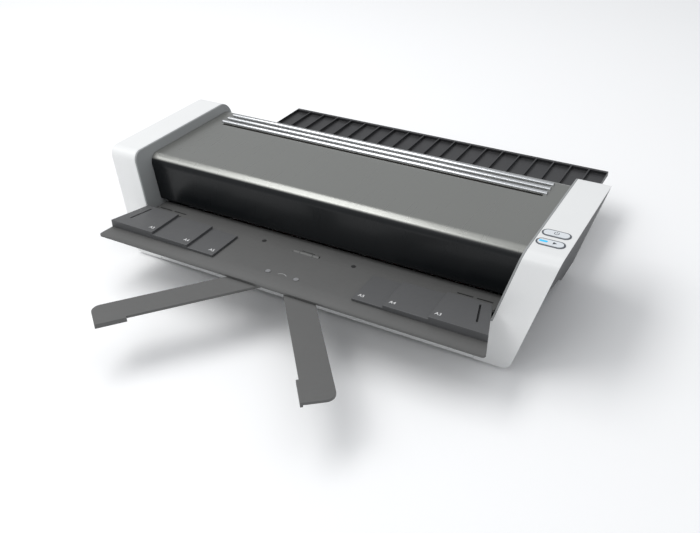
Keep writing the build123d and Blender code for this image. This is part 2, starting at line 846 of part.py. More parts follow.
def arm_outline():
    """The right arm lying straight ahead from its pivot at the origin."""
    with BuildSketch() as plan:
        with Locations((0, -arm_length / 2)):
            Rectangle(arm_width, arm_length)
        tip = plan.vertices().group_by(Axis.Y)[0]
        fillet(tip.sort_by(Axis.X)[-1], arm_tip_radius)
        with Locations((0, 0)):
            Circle(arm_root_radius)
        with Locations(arm_tab_place):
            Rectangle(arm_tab_wall, arm_tab_length)
    return plan.sketch


def support_arm():
    """Right support arm, swung out by its spread."""
    with BuildPart() as arm:
        extrude(arm_outline(), amount=-arm_wall)
        with BuildSketch():
            with Locations(arm_tab_place):
                Rectangle(arm_tab_wall, arm_tab_length)
        extrude(amount=-arm_tab_height)
        with BuildSketch():
            Circle(rivet_diameter / 2 + running_clearance)
        extrude(amount=-arm_wall, mode=Mode.SUBTRACT)
    pivot = Plane(origin=(arm_pivot_x, arm_pivot_y, arm_top_z)).rotated((0, 0, arm_spread))
    return pivot.location * arm.part


save_pair(support_arm(), "left_support_arm", "right_support_arm")

rivet_proud = 0.5
rivet_head_z = arm_top_z - arm_wall - 0.2

with BuildPart() as arm_rivets:
    with BuildSketch(Plane.XY.offset(rivet_head_z)):
        with Locations(*arm_pivots):
            Circle(rivet_diameter / 2)
    extrude(amount=tray_floor_z + rivet_proud - rivet_head_z)
    with BuildSketch(Plane.XY.offset(rivet_head_z)):
        with Locations(*arm_pivots):
            Circle(rivet_head_diameter / 2)
    extrude(amount=-rivet_head_height)
save(arm_rivets.part, "arm_rivets")

# --------------------------------------------------------------------------- output tray

output_y = rear_y + 0.6
output_end_y = front_y + output_end_setback
output_wall = 2.0
rib_pitch = output_width / output_bays

with BuildPart() as output_tray:
    with BuildSketch(Plane.XY.offset(output_floor_z)):
        with Locations((0, output_y)):
            Rectangle(output_width, output_end_y - output_y, align=(Align.CENTER, Align.MIN))
    extrude(amount=output_wall)
    with BuildSketch(Plane.XY.offset(output_floor_z + output_wall)):
        with Locations((0, (output_y + output_end_y) / 2)):
            with GridLocations(rib_pitch, 1.0, output_bays + 1, 1):
                Rectangle(output_rib_wall, output_end_y - output_y)
        with Locations((0, output_end_y - output_end_wall / 2)):
            Rectangle(output_width, output_end_wall)
    extrude(amount=output_rib_top_z - output_floor_z - output_wall)
    with BuildSketch(Plane.XY.offset(output_floor_z)):
        with Locations((0, (output_y + output_end_y) / 2)):
            Rectangle(output_width, output_end_y - output_y)
    extrude(amount=output_rib_top_z - output_floor_z + 1.0, mode=Mode.INTERSECT)
    with BuildSketch(Plane.XY.offset(output_floor_z)):
        with Locations((-tongue_x, output_y), (tongue_x, output_y)):
            Rectangle(tongue_width, 2 * tongue_length)
    extrude(amount=tongue_wall)
save(output_tray.part, "output_tray")

# --------------------------------------------------------------------------- buttons

rim_depth = 3.0
rim_proud = 0.4
flange_gap = 0.2
flange_wall = 1.0
flange_top_z = overall_height - rim_depth - flange_gap
button_top_z = overall_height + button_proud
lens_x = cap_middle_x - 6.4
lens_depth = 1.2
lens_proud = 0.05

with BuildPart() as button_rims:
    with BuildSketch(Plane.XY.offset(overall_height - rim_depth)):
        with Locations(*button_sites()):
            SlotOverall(button_length + 2 * rim_offset, button_width + 2 * rim_offset)
            SlotOverall(button_length + 2 * button_gap, button_width + 2 * button_gap, mode=Mode.SUBTRACT)
    extrude(amount=rim_depth + rim_proud)
save(button_rims.part, "button_rims")


def button(site):
    """A capsule button with a flange under the rim that keeps it in."""
    with BuildPart() as capsule:
        with BuildSketch(Plane.XY.offset(flange_top_z - flange_wall)):
            with Locations(site):
                SlotOverall(button_length, button_width)
        extrude(amount=button_top_z - flange_top_z + flange_wall)
        fillet(capsule.edges().group_by(Axis.Z)[-1], 0.5)
        with BuildSketch(Plane.XY.offset(flange_top_z - flange_wall)):
            with Locations(site):
                SlotOverall(button_length + 2 * rim_offset - 0.8, button_width + 2 * rim_offset - 0.8)
        extrude(amount=flange_wall)
    return capsule.part


standby_site, start_site = button_sites()
save(button(standby_site), "standby_button")

with BuildPart() as start_light_lens:
    with BuildSketch(Plane.XY.offset(button_top_z - lens_depth)):
        with Locations((lens_x, start_site[1])):
            SlotOverall(lens_length, lens_width)
    extrude(amount=lens_depth + lens_proud)
save(start_light_lens.part, "start_light_lens")

with BuildPart() as start_button:
    add(button(start_site))
    add(start_light_lens.part, mode=Mode.SUBTRACT)
save(start_button.part, "start_button")

board_wall = 1.6
key_gap = 0.3  # from a pressed button to the stem of its switch
key_body = 6.0
key_stem_radius = 1.7
key_body_height = 1.6
key_top_z = flange_top_z - flange_wall - button_travel - key_gap

with BuildPart() as control_board:
    with BuildSketch(Plane.XY.offset(board_top_z)):
        with Locations((cap_middle_x, front_y + (post_setbacks[0] + post_setbacks[1]) / 2)):
            Rectangle(21.0, post_setbacks[1] - post_setbacks[0] + 8.0)
    extrude(amount=-board_wall)
save(control_board.part, "control_board")

with BuildPart() as key_switches:
    with BuildSketch(Plane.XY.offset(board_top_z)):
        with Locations(*button_sites()):
            Rectangle(key_body, key_body)
    extrude(amount=key_body_height)
    with BuildSketch(Plane.XY.offset(board_top_z + key_body_height)):
        with Locations(*button_sites()):
            Circle(key_stem_radius)
    extrude(amount=key_top_z - board_top_z - key_body_height)
save(key_switches.part, "key_switches")

# --------------------------------------------------------------------------- chassis

plate_bottom_z = base_bottom_z + shell_wall
bush_lift = 2.0  # travel of the sprung upper bushes in their slots
tie_radius = 4.0
tie_offset = roller_radius + tie_radius
tie_z = upper_roller_z + roller_radius + 2.2
tie_places = [(hot_y - tie_offset, tie_z), (exit_y + tie_offset, tie_z), (idler_y, 32.0)]
plate_top_z = tie_z + tie_radius + 3.0
bush_places = [(y, z) for y in (hot_y, exit_y) for z in (lower_roller_z, upper_roller_z)]
standoff_places = [(idler_y + dy, z) for dy in (-14.0, 14.0) for z in (pinion_z + 2.0, pinion_z + 14.0)]
standoff_radius = 2.5


def chassis_plate():
    """Right-hand steel side plate with a foot flange turned in on the base."""
    with BuildPart() as plate:
        with BuildSketch(Plane.YZ.offset(guide_half)):
            with BuildLine():
                Polyline(
                    (plate_front_y, plate_bottom_z),
                    (plate_front_y, plate_top_z - 14.0),
                    (plate_front_y + 12.0, plate_top_z),
                    (plate_rear_y - 12.0, plate_top_z),
                    (plate_rear_y, plate_top_z - 14.0),
                    (plate_rear_y, plate_bottom_z),
                    close=True,
                )
            make_face()
            with Locations(*[(y, lower_roller_z) for y in (hot_y, exit_y)]):
                Circle(bush_radius, mode=Mode.SUBTRACT)
            with Locations(*[(y, upper_roller_z + bush_lift / 2) for y in (hot_y, exit_y)]):
                SlotCenterToCenter(bush_lift, 2 * bush_radius, rotation=90, mode=Mode.SUBTRACT)
            with Locations((idler_y, lower_roller_z)):
                Circle(journal_radius, mode=Mode.SUBTRACT)
        extrude(amount=chassis_wall)
        with BuildSketch(Plane.XY.offset(plate_bottom_z)):
            with Locations((guide_half + chassis_wall, (plate_front_y + plate_rear_y) / 2)):
                Rectangle(plate_flange, plate_rear_y - plate_front_y, align=(Align.MAX, Align.CENTER))
        extrude(amount=chassis_wall)
        with BuildSketch(Plane.XY):
            with Locations(*[place for place in screw_places if place[0] > 0]):
                Circle(screw_hole_radius)
        extrude(amount=plate_bottom_z + 2 * chassis_wall, mode=Mode.SUBTRACT)
    return plate.part


save_pair(chassis_plate(), "left_chassis_plate", "right_chassis_plate")

with BuildPart() as tie_bars:
    with BuildSketch(Plane.YZ.offset(-guide_half)):
        with Locations(*tie_places):
            Circle(tie_radius)
    extrude(amount=2 * guide_half)
save(tie_bars.part, "tie_bars")

with BuildPart() as roller_bushes:
    for side in (-1, 1):
        with BuildSketch(Plane.YZ.offset(side * plate_x - bush_length / 2)):
            with Locations(*bush_places):
                Circle(bush_radius)
                Circle(journal_radius + running_clearance, mode=Mode.SUBTRACT)
        extrude(amount=bush_length)
save(roller_bushes.part, "roller_bushes")

leaf_wall = 0.8
leaf_length = 30.0
leaf_width = 2.4
leaf_foot_width = 4.0
leaf_foot_height = 5.0
leaf_foot_offset = (leaf_length - leaf_foot_width) / 2
leaf_places = [(y, upper_roller_z + bush_radius) for y in (hot_y, exit_y)]
foot_places = [(y + end * leaf_foot_offset, z) for y, z in leaf_places for end in (-1, 1)]

with BuildPart() as pressure_springs:
    for side in (-1, 1):
        with BuildSketch(Plane.YZ.offset(side * (guide_half + chassis_wall))):
            with Locations(*leaf_places):
                Rectangle(leaf_length, leaf_wall, align=(Align.CENTER, Align.MIN))
            with Locations(*foot_places):
                Rectangle(leaf_foot_width, leaf_foot_height, align=(Align.CENTER, Align.MIN))
        extrude(amount=side * leaf_width)
save(pressure_springs.part, "pressure_springs")

# --------------------------------------------------------------------------- rollers and gears

tooth_root = 1.9
tooth_pitch = 1.24
tooth_tip = 0.6


def gear(teeth, phase, y, z, bore):
    """A spur gear on the left of the chassis; phase turns it, in fractions of a tooth pitch."""
    pitch_radius = gear_module * teeth / 2
    root_radius = pitch_radius - 1.2 * gear_module
    tip_radius = pitch_radius + 0.9 * gear_module
    with BuildPart() as wheel:
        with BuildSketch(Plane.YZ.offset(-gear_outer_x)):
            with Locations((y, z)):
                Circle(root_radius)
                with PolarLocations(0, teeth, start_angle=phase * 360 / teeth):
                    Polygon(
                        (root_radius - 0.4, -tooth_root / 2),
                        (pitch_radius, -tooth_pitch / 2),
                        (tip_radius, -tooth_tip / 2),
                        (tip_radius, tooth_tip / 2),
                        (pitch_radius, tooth_pitch / 2),
                        (root_radius - 0.4, tooth_root / 2),
                        align=None,
                    )
                Circle(bore, mode=Mode.SUBTRACT)
        extrude(amount=gear_width)
    return wheel.part


def roller(name, y, z, phase):
    """Write one roller: its steel core, silicone sleeve and drive gear."""
    with BuildPart() as core:
        with BuildSketch(Plane.YZ.offset(-roller_length / 2)):
            with Locations((y, z)):
                Circle(roller_core_radius)
        extrude(amount=roller_length)
        with BuildSketch(Plane.YZ.offset(-gear_outer_x - 0.5)):
            with Locations((y, z)):
                Circle(journal_radius)
        extrude(amount=gear_outer_x + 0.5 + plate_x + bush_length / 2 + 1.0)
    save(core.part, f"{name}_core")
    with BuildPart() as sleeve:
        with BuildSketch(Plane.YZ.offset(-roller_length / 2)):
            with Locations((y, z)):
                Circle(roller_radius)
                Circle(roller_core_radius, mode=Mode.SUBTRACT)
        extrude(amount=roller_length)
    save(sleeve.part, f"{name}_sleeve")
    save(gear(roller_teeth, phase, y, z, journal_radius), f"{name}_gear")


# A tooth of one gear faces a gap of the next: the phases follow round the train.
roller("lower_hot_roller", hot_y, lower_roller_z, 0)
roller("upper_hot_roller", hot_y, upper_roller_z, 0.5)
roller("lower_exit_roller", exit_y, lower_roller_z, 0.5)
roller("upper_exit_roller", exit_y, upper_roller_z, 0)
save(gear(idler_teeth, 0, idler_y, lower_roller_z, journal_radius + running_clearance), "idler_gear")

pinion_bore = 2.5
shaft_reach = 12.0  # how far the motor's shaft goes out past the pinion

with BuildPart() as idler_stud:
    with BuildSketch(Plane.YZ.offset(-gear_outer_x - 0.6)):
        with Locations((idler_y, lower_roller_z)):
            Circle(journal_radius)
    extrude(amount=gear_outer_x + 0.6 - guide_half)
    with BuildSketch(Plane.YZ.offset(-guide_half)):
        with Locations((idler_y, lower_roller_z)):
            Circle(journal_radius + 2.5)
    extrude(amount=1.5)
save(idler_stud.part, "idler_stud")

with BuildPart() as motor_pinion:
    add(gear(pinion_teeth, -0.25, idler_y, pinion_z, pinion_bore - 0.5))
    with BuildSketch(Plane.YZ.offset(-gear_outer_x - shaft_reach)):
        with Locations((idler_y, pinion_z)):
            Circle(pinion_bore)
    extrude(amount=shaft_reach + gear_width)
save(motor_pinion.part, "motor_pinion")

motor_radius = 22.5
bracket_wall = 2.0
motor_end_gap = 4.8  # from the motor to the inside of the side panel
motor_room_x = lean_x(panel_outer_x, pinion_z - motor_radius) - shell_wall - motor_end_gap
motor_length = motor_room_x - bracket_x - bracket_wall

with BuildPart() as motor_bracket:
    with BuildSketch(Plane.YZ.offset(-bracket_x)):
        with Locations((idler_y, pinion_z + 2.0)):
            RectangleRounded(46.0, 40.0, 6.0)
        with Locations((idler_y, pinion_z)):
            Circle(pinion_bore + 3.0, mode=Mode.SUBTRACT)
    extrude(amount=-bracket_wall)
    with BuildSketch(Plane.YZ.offset(-bracket_x)):
        with Locations(*standoff_places):
            Circle(standoff_radius)
    extrude(amount=bracket_x - guide_half - chassis_wall)
save(motor_bracket.part, "motor_bracket")

with BuildPart() as drive_motor:
    with BuildSketch(Plane.YZ.offset(-bracket_x - bracket_wall)):
        with Locations((idler_y, pinion_z)):
            Circle(motor_radius)
    extrude(amount=-motor_length)
    fillet(drive_motor.edges().group_by(Axis.X)[0], 2.0)
    with BuildSketch(Plane.YZ.offset(-bracket_x - bracket_wall)):
        with Locations((idler_y, pinion_z)):
            Circle(pinion_bore + running_clearance)
    extrude(amount=-(gear_outer_x + shaft_reach + 1.0 - bracket_x - bracket_wall), mode=Mode.SUBTRACT)
save(drive_motor.part, "drive_motor")

# --------------------------------------------------------------------------- heaters

shoe_gap = 0.8
shoe_wall = 2.4
shoe_half_angle = 55.0
element_wall = 2.0


def heater_shoe(z, side):
    """One heater shoe over (side +1) or under (side -1) the hot roller at height z."""
    inner = roller_radius + shoe_gap
    outer = inner + shoe_wall
    start = 90 * side - shoe_half_angle
    with BuildPart() as shoe:
        with BuildSketch(Plane.YZ):
            with BuildLine():
                CenterArc((hot_y, z), outer, start, 2 * shoe_half_angle)
                CenterArc((hot_y, z), inner, start, 2 * shoe_half_angle)
                for angle in (start, start + 2 * shoe_half_angle):
                    turn = math.radians(angle)
                    Line(
                        (hot_y + inner * math.cos(turn), z + inner * math.sin(turn)),
                        (hot_y + outer * math.cos(turn), z + outer * math.sin(turn)),
                    )
            make_face()
            with Locations((hot_y, z + side * (outer - 0.4))):
                Rectangle(12.0, 1.2)
        extrude(amount=guide_half, both=True)
    return shoe.part


with BuildPart() as heater_shoes:
    add(heater_shoe(upper_roller_z, 1))
    add(heater_shoe(lower_roller_z, -1))
save(heater_shoes.part, "heater_shoes")

with BuildPart() as heating_elements:
    pad = roller_radius + shoe_gap + shoe_wall + 0.2
    for z in (upper_roller_z + pad, lower_roller_z - pad - element_wall):
        with BuildSketch(Plane.XY.offset(z)):
            with Locations((0, hot_y)):
                Rectangle(roller_length - 20.0, 9.0)
        extrude(amount=element_wall)
save(heating_elements.part, "heating_elements")

# --------------------------------------------------------------------------- main board

board_x = 90.0
board_y = 48.0
board_width = 120.0
board_depth = 60.0
pillar_height = 5.0
pillar_radius = 2.5
board_z = plate_bottom_z + pillar_height
transformer = ((board_x - 36.0, board_y + 8.0), (28.0, 24.0), 14.0)
controller = ((board_x + 40.0, board_y - 8.0), (16.0, 16.0), 3.0)
connector = ((board_x - 4.0, board_y - 18.0), (34.0, 10.0), 6.0)
capacitor_places = [(board_x, board_y + 14.0), (board_x + 16.0, board_y + 14.0)]
capacitor_radius = 6.0
capacitor_height = 13.0

with BuildPart() as main_board:
    with BuildSketch(Plane.XY.offset(board_z)):
        with Locations((board_x, board_y)):
            Rectangle(board_width, board_depth)
    extrude(amount=board_wall)
    with BuildSketch(Plane.XY.offset(plate_bottom_z)):
        with Locations((board_x, board_y)):
            with GridLocations(board_width - 8.0, board_depth - 8.0, 2, 2):
                Circle(pillar_radius)
    extrude(amount=pillar_height)
save(main_board.part, "main_board")

with BuildPart() as board_components:
    for place, (width, depth), height in (transformer, controller, connector):
        with BuildSketch(Plane.XY.offset(board_z + board_wall)):
            with Locations(place):
                Rectangle(width, depth)
        extrude(amount=height)
    with BuildSketch(Plane.XY.offset(board_z + board_wall)):
        with Locations(*capacitor_places):
            Circle(capacitor_radius)
    extrude(amount=capacitor_height)
save(board_components.part, "board_components")
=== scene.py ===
"""Dresses the pouch laminator: casing, trays, controls and print, in a pale studio.

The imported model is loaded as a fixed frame.  Casing pieces are carried over with softened
edges, small printed and moulded details are added, and every surface gets a finish.
"""

import json
import logging
import math
from dataclasses import dataclass, field
from enum import Enum

import bpy
from mathutils import Matrix, Vector

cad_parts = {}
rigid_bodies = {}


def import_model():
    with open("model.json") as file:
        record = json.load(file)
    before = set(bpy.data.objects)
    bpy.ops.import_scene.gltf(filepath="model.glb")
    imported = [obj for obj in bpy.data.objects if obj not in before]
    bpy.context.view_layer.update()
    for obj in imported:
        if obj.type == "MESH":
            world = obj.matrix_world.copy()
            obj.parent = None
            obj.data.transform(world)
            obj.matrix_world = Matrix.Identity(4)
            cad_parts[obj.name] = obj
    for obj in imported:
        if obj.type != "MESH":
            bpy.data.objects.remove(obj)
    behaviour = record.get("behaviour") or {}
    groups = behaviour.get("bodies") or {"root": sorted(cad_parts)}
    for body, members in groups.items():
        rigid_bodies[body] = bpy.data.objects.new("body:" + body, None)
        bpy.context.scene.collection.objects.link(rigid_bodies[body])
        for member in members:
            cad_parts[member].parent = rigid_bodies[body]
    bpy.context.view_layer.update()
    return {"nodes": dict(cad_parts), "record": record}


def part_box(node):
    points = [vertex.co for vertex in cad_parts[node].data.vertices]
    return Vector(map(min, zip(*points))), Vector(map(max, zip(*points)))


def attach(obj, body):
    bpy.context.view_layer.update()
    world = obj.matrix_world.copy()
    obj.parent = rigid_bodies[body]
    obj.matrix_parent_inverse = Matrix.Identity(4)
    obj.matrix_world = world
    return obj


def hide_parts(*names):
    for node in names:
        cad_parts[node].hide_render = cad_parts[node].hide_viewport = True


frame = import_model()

logging.basicConfig(level=logging.INFO, format="%(message)s")
log = logging.getLogger("laminator")

Colour = tuple[float, float, float]
Point = tuple[float, float, float]
MM = 0.001
TRAY_FLOOR = 0.0545  # top of the entry tray's floor, above the desk
SHELF_TOP = 0.0536  # top of the shelf behind the tray's hinge


# ----------------------------------------------------------------------------- small helpers


def deselect_all() -> None:
    """Leave nothing selected, in object mode."""
    if bpy.context.object and bpy.context.object.mode != "OBJECT":
        bpy.ops.object.mode_set(mode="OBJECT")
    bpy.ops.object.select_all(action="DESELECT")


def take(piece: bpy.types.Object) -> None:
    """Make one piece the only selected and the active object."""
    deselect_all()
    piece.select_set(True)
    bpy.context.view_layer.objects.active = piece


def settle(piece: bpy.types.Object) -> None:
    """Move a piece's place, turn and scale into its mesh."""
    take(piece)
    bpy.ops.object.transform_apply(location=True, rotation=True, scale=True)


def apply_modifier(piece: bpy.types.Object, kind: str, **values: object) -> None:
    """Add one modifier to a piece and apply it.

    Args:
        piece: the object that is changed.
        kind: the modifier's type, such as BEVEL.
        values: the modifier's settings by name.
    """
    take(piece)
    modifier = piece.modifiers.new(kind.lower(), kind)
    for name, value in values.items():
        setattr(modifier, name, value)
    bpy.ops.object.modifier_apply(modifier=modifier.name)


def smooth(piece: bpy.types.Object, degrees: float = 30.0) -> None:
    """Smooth shading across edges that turn by less than the angle."""
    take(piece)
    bpy.ops.object.shade_smooth_by_angle(angle=math.radians(degrees))


def body_name(node: str) -> str:
    """Name of the body that a CAD node rides on."""
    for name, nodes in frame["record"]["behaviour"]["bodies"].items():
        if node in nodes:
            return name
    raise KeyError(node)


def slot_of(node: str) -> str:
    """Material slot that the record gives to a CAD node."""
    return next(row["material_slot"] for row in frame["record"]["subparts"] if row["node"] == node)


# ----------------------------------------------------------------------------- shader groups


class ShaderGroup:
    """A reusable node group with named inputs and outputs."""

    def __init__(self, name: str, inputs: dict[str, object], outputs: dict[str, str]) -> None:
        """Open a group.

        Args:
            name: the group's name.
            inputs: default value of each input; a tuple is a colour, a number is a float.
            outputs: socket type of each output by name.
        """
        self.tree = bpy.data.node_groups.new(name, "ShaderNodeTree")
        for label, value in inputs.items():
            kind = "NodeSocketColor" if isinstance(value, tuple) else "NodeSocketFloat"
            socket = self.tree.interface.new_socket(name=label, in_out="INPUT", socket_type=kind)
            socket.default_value = (*value, 1.0) if isinstance(value, tuple) else value
        for label, kind in outputs.items():
            self.tree.interface.new_socket(name=label, in_out="OUTPUT", socket_type=kind)
        self.start = self.tree.nodes.new("NodeGroupInput").outputs
        self.end = self.tree.nodes.new("NodeGroupOutput").inputs

    def node(self, kind: str, **values: object) -> bpy.types.Node:
        """Add a node and set its plain properties."""
        made = self.tree.nodes.new(kind)
        for name, value in values.items():
            setattr(made, name, value)
        return made

    def link(self, source: bpy.types.NodeSocket, target: bpy.types.NodeSocket) -> None:
        """Join two sockets."""
        self.tree.links.new(source, target)

    def maths(self, operation: str, first: object, second: object) -> bpy.types.NodeSocket:
        """A Math node over two sockets or numbers.

        Args:
            operation: the Math node's operation.
            first: a socket or a number.
            second: a socket or a number.

        Returns:
            The node's output socket.
        """
        made = self.node("ShaderNodeMath", operation=operation)
        for socket, value in zip(made.inputs, (first, second)):
            if isinstance(value, bpy.types.NodeSocket):
                self.link(value, socket)
            else:
                socket.default_value = value
        return made.outputs[0]

    def object_point(self, stretch: Point = (1.0, 1.0, 1.0)) -> bpy.types.NodeSocket:
        """Object coordinates, scaled along each axis."""
        place = self.node("ShaderNodeTexCoord")
        mapping = self.node("ShaderNodeMapping")
        mapping.inputs["Scale"].default_value = stretch
        self.link(place.outputs["Object"], mapping.inputs["Vector"])
        return mapping.outputs["Vector"]

    def noise(
        self, point: bpy.types.NodeSocket, scale: object, detail: float
    ) -> bpy.types.NodeSocket:
        """A noise texture's value, between 0 and 1."""
        made = self.node("ShaderNodeTexNoise")
        self.link(point, made.inputs["Vector"])
        made.inputs["Detail"].default_value = detail
        if isinstance(scale, bpy.types.NodeSocket):
            self.link(scale, made.inputs["Scale"])
        else:
            made.inputs["Scale"].default_value = scale
        return made.outputs["Fac"]


MIDDLE = 0.5  # a noise's middle value
HANDLED_SCALE = 22.0  # wear and handling, over some centimetres
TONE_SCALE = 9.0  # slow drift of the colour over a shell
DUST_SCALE = 260.0
DUST_PATCH_SCALE = 30.0
DUST_EDGE = 3.0  # how fast dust thins out as a face turns from level
SPECK_SWING = 0.12  # share of the grain that also shows in the roughness
BRUSH_STRETCH = (1.0, 0.012, 0.012)


def make_grain_group() -> bpy.types.NodeTree:
    """Moulded grain: a fine height and a roughness that drifts over the surface."""
    group = ShaderGroup(
        "moulded_grain",
        {"Scale": 1500.0, "Roughness": 0.5, "Drift": 0.08},
        {"Height": "NodeSocketFloat", "Roughness": "NodeSocketFloat"},
    )
    point = group.object_point()
    fine = group.noise(point, group.start["Scale"], 3.0)
    group.link(fine, group.end["Height"])
    broad = group.noise(point, HANDLED_SCALE, 4.0)
    swing = group.maths("MULTIPLY", group.maths("SUBTRACT", broad, MIDDLE), group.start["Drift"])
    speck = group.maths("MULTIPLY", group.maths("SUBTRACT", fine, MIDDLE), SPECK_SWING)
    rough = group.maths("ADD", group.start["Roughness"], group.maths("ADD", swing, speck))
    group.link(rough, group.end["Roughness"])
    return group.tree


def make_tone_group() -> bpy.types.NodeTree:
    """Tone: a colour that drifts a little in brightness, with pale dust on what faces up."""
    group = ShaderGroup(
        "surface_tone",
        {"Colour": (0.5, 0.5, 0.5), "Drift": 0.06, "Dust": 0.0, "Dust colour": (0.5, 0.49, 0.46)},
        {"Colour": "NodeSocketColor"},
    )
    point = group.object_point()
    broad = group.noise(point, TONE_SCALE, 5.0)
    swing = group.maths("MULTIPLY", group.maths("SUBTRACT", broad, MIDDLE), group.start["Drift"])
    shade = group.node("ShaderNodeHueSaturation")
    group.link(group.start["Colour"], shade.inputs["Color"])
    group.link(group.maths("ADD", swing, 1.0), shade.inputs["Value"])
    facing = group.node("ShaderNodeNewGeometry")
    split = group.node("ShaderNodeSeparateXYZ")
    group.link(facing.outputs["Normal"], split.inputs["Vector"])
    upward = group.maths("POWER", group.maths("MAXIMUM", split.outputs["Z"], 0.0), DUST_EDGE)
    specks = group.noise(point, DUST_SCALE, 6.0)
    patches = group.maths("MULTIPLY", specks, group.noise(point, DUST_PATCH_SCALE, 2.0))
    dust = group.maths("MULTIPLY", group.maths("MULTIPLY", upward, patches), group.start["Dust"])
    mix = group.node("ShaderNodeMix", data_type="RGBA")
    group.link(dust, mix.inputs["Factor"])
    group.link(shade.outputs["Color"], mix.inputs["A"])
    group.link(group.start["Dust colour"], mix.inputs["B"])
    group.link(mix.outputs["Result"], group.end["Colour"])
    return group.tree


def make_brush_group() -> bpy.types.NodeTree:
    """Brush lines along Y and Z: a height and a roughness that follows them."""
    group = ShaderGroup(
        "brush_lines",
        {"Fineness": 900.0, "Roughness": 0.3, "Swing": 0.15},
        {"Height": "NodeSocketFloat", "Roughness": "NodeSocketFloat"},
    )
    point = group.object_point(BRUSH_STRETCH)
    lines = group.noise(point, group.start["Fineness"], 6.0)
    group.link(lines, group.end["Height"])
    swing = group.maths("MULTIPLY", group.maths("SUBTRACT", lines, MIDDLE), group.start["Swing"])
    group.link(group.maths("ADD", group.start["Roughness"], swing), group.end["Roughness"])
    return group.tree


GRAIN = make_grain_group()
TONE = make_tone_group()
BRUSH = make_brush_group()


# ----------------------------------------------------------------------------- finishes


class Texture(Enum):
    """What covers a surface at the finest scale."""

    GRAIN = "moulded grain"
    BRUSHED = "brush lines"


@dataclass(frozen=True)
class Finish:
    """One surface finish: a Principled shader fed by the tone and texture groups."""

    name: str
    colour: Colour
    roughness: float
    metallic: float = 0.0
    coat: float = 0.0
    coat_roughness: float = 0.08
    specular: float = 0.5
    texture: Texture = Texture.GRAIN
    scale: float = 1500.0
    depth: float = 0.02
    drift: float = 0.05
    dust: float = 0.0
    glow: float = 0.0

    def build(self) -> bpy.types.Material:
        """Build the material.

        Returns:
            The new material, named after the finish.
        """
        material = bpy.data.materials.new(self.name)
        material.use_nodes = True
        tree = material.node_tree
        shader = tree.nodes["Principled BSDF"]
        shader.inputs["Metallic"].default_value = self.metallic
        shader.inputs["Coat Weight"].default_value = self.coat
        shader.inputs["Coat Roughness"].default_value = self.coat_roughness
        shader.inputs["Specular IOR Level"].default_value = self.specular
        tone = self.group(tree, TONE, {"Drift": self.drift, "Dust": self.dust})
        tone.inputs["Colour"].default_value = (*self.colour, 1.0)
        self.link_colour(tree, tone.outputs["Colour"], shader)
        if self.glow > 0:
            tree.links.new(tone.outputs["Colour"], shader.inputs["Emission Color"])
            shader.inputs["Emission Strength"].default_value = self.glow
        if self.texture is Texture.BRUSHED:
            values = {"Fineness": self.scale, "Roughness": self.roughness}
            surface = self.group(tree, BRUSH, values)
        else:
            values = {"Scale": self.scale, "Roughness": self.roughness}
            surface = self.group(tree, GRAIN, values)
        tree.links.new(surface.outputs["Roughness"], shader.inputs["Roughness"])
        bump = tree.nodes.new("ShaderNodeBump")
        bump.inputs["Strength"].default_value = 1.0
        bump.inputs["Distance"].default_value = self.depth * MM
        tree.links.new(surface.outputs["Height"], bump.inputs["Height"])
        tree.links.new(bump.outputs["Normal"], shader.inputs["Normal"])
        return material

    def link_colour(
        self, tree: bpy.types.NodeTree, colour: bpy.types.NodeSocket, shader: bpy.types.Node
    ) -> None:
        """Feed the base colour; a finish with more than one tone overrides this."""
        tree.links.new(colour, shader.inputs["Base Color"])

    @staticmethod
    def group(
        tree: bpy.types.NodeTree, source: bpy.types.NodeTree, values: dict[str, float]
    ) -> bpy.types.Node:
        """Place a shader group in a material with its own values."""
        node = tree.nodes.new("ShaderNodeGroup")
        node.node_tree = source
        for name, value in values.items():
            node.inputs[name].default_value = value
        return node


@dataclass(frozen=True)
class CoverLacquer(Finish):
    """Pearl lacquer on top; below the bend of the front face the colour is mixed by height to near
    black and the metallic share to nothing.
    """

    front_colour: Colour = (0.004, 0.005, 0.006)
    bend_top: float = 0.1022
    bend_foot: float = 0.1002

    def link_colour(
        self, tree: bpy.types.NodeTree, colour: bpy.types.NodeSocket, shader: bpy.types.Node
    ) -> None:
        """Mix the top's colour into the front's by height."""
        place = tree.nodes.new("ShaderNodeTexCoord")
        split = tree.nodes.new("ShaderNodeSeparateXYZ")
        tree.links.new(place.outputs["Object"], split.inputs["Vector"])
        height = tree.nodes.new("ShaderNodeMapRange")
        height.interpolation_type = "SMOOTHSTEP"
        height.inputs["From Min"].default_value = self.bend_foot
        height.inputs["From Max"].default_value = self.bend_top
        tree.links.new(split.outputs["Z"], height.inputs["Value"])
        mix = tree.nodes.new("ShaderNodeMix")
        mix.data_type = "RGBA"
        tree.links.new(height.outputs["Result"], mix.inputs["Factor"])
        mix.inputs["A"].default_value = (*self.front_colour, 1.0)
        tree.links.new(colour, mix.inputs["B"])
        tree.links.new(mix.outputs["Result"], shader.inputs["Base Color"])
        share = tree.nodes.new("ShaderNodeMath")
        share.operation = "MULTIPLY"
        share.inputs[1].default_value = self.metallic
        tree.links.new(height.outputs["Result"], share.inputs[0])
        tree.links.new(share.outputs[0], shader.inputs["Metallic"])


